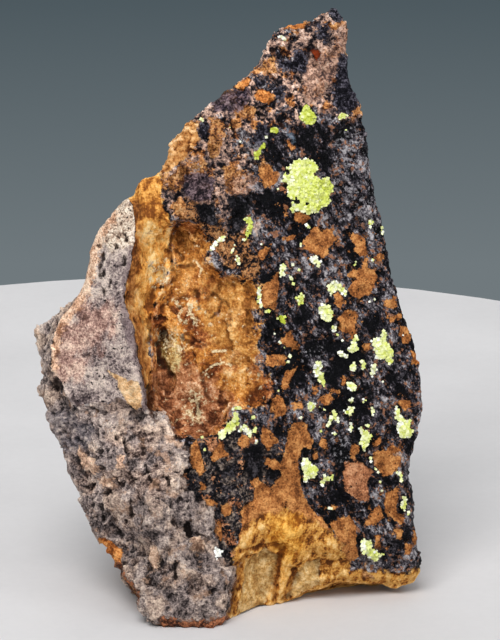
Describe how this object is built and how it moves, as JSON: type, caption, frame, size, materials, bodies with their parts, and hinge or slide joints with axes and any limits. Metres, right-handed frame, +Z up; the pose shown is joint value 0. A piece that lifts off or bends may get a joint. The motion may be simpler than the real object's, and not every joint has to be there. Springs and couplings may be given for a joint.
{
  "type": "autunite mineral specimen",
  "caption": "Upright wedge of dark, limonite-stained host rock with thin yellow-green autunite crystal crusts scattered over its front face.",
  "frame": {"origin": "middle of the bounding box, on the flat base", "axes": "+Z up; the crusted face looks along -Y and leans back by 16 degrees; +X to the right seen from the front"},
  "size_m": [0.0492, 0.036, 0.0728],
  "materials": {
    "host_rock": "rough broken rock, black manganese and brown limonite coats, grey granular matrix",
    "autunite": "vitreous to pearly yellow-green crystals"
  },
  "bodies": {
    "root": {"host_rock": "host_rock", "autunite_rosette": "autunite", "autunite_tip": "autunite", "autunite_upper_1": "autunite", "autunite_upper_2": "autunite", "autunite_upper_3": "autunite", "autunite_upper_4": "autunite", "autunite_upper_5": "autunite", "autunite_left_1": "autunite", "autunite_left_2": "autunite", "autunite_left_3": "autunite", "autunite_left_4": "autunite", "autunite_left_5": "autunite", "autunite_left_6": "autunite", "autunite_left_7": "autunite", "autunite_middle_1": "autunite", "autunite_middle_2": "autunite", "autunite_middle_3": "autunite", "autunite_middle_4": "autunite", "autunite_middle_5": "autunite", "autunite_middle_6": "autunite", "autunite_middle_7": "autunite", "autunite_middle_8": "autunite", "autunite_middle_9": "autunite", "autunite_middle_10": "autunite", "autunite_middle_11": "autunite", "autunite_middle_12": "autunite", "autunite_middle_13": "autunite", "autunite_middle_14": "autunite", "autunite_right_1": "autunite", "autunite_right_2": "autunite", "autunite_right_3": "autunite", "autunite_right_4": "autunite", "autunite_right_5": "autunite", "autunite_right_6": "autunite", "autunite_right_7": "autunite", "autunite_lower_1": "autunite", "autunite_lower_2": "autunite", "autunite_lower_3": "autunite"}
  },
  "joints": []
}
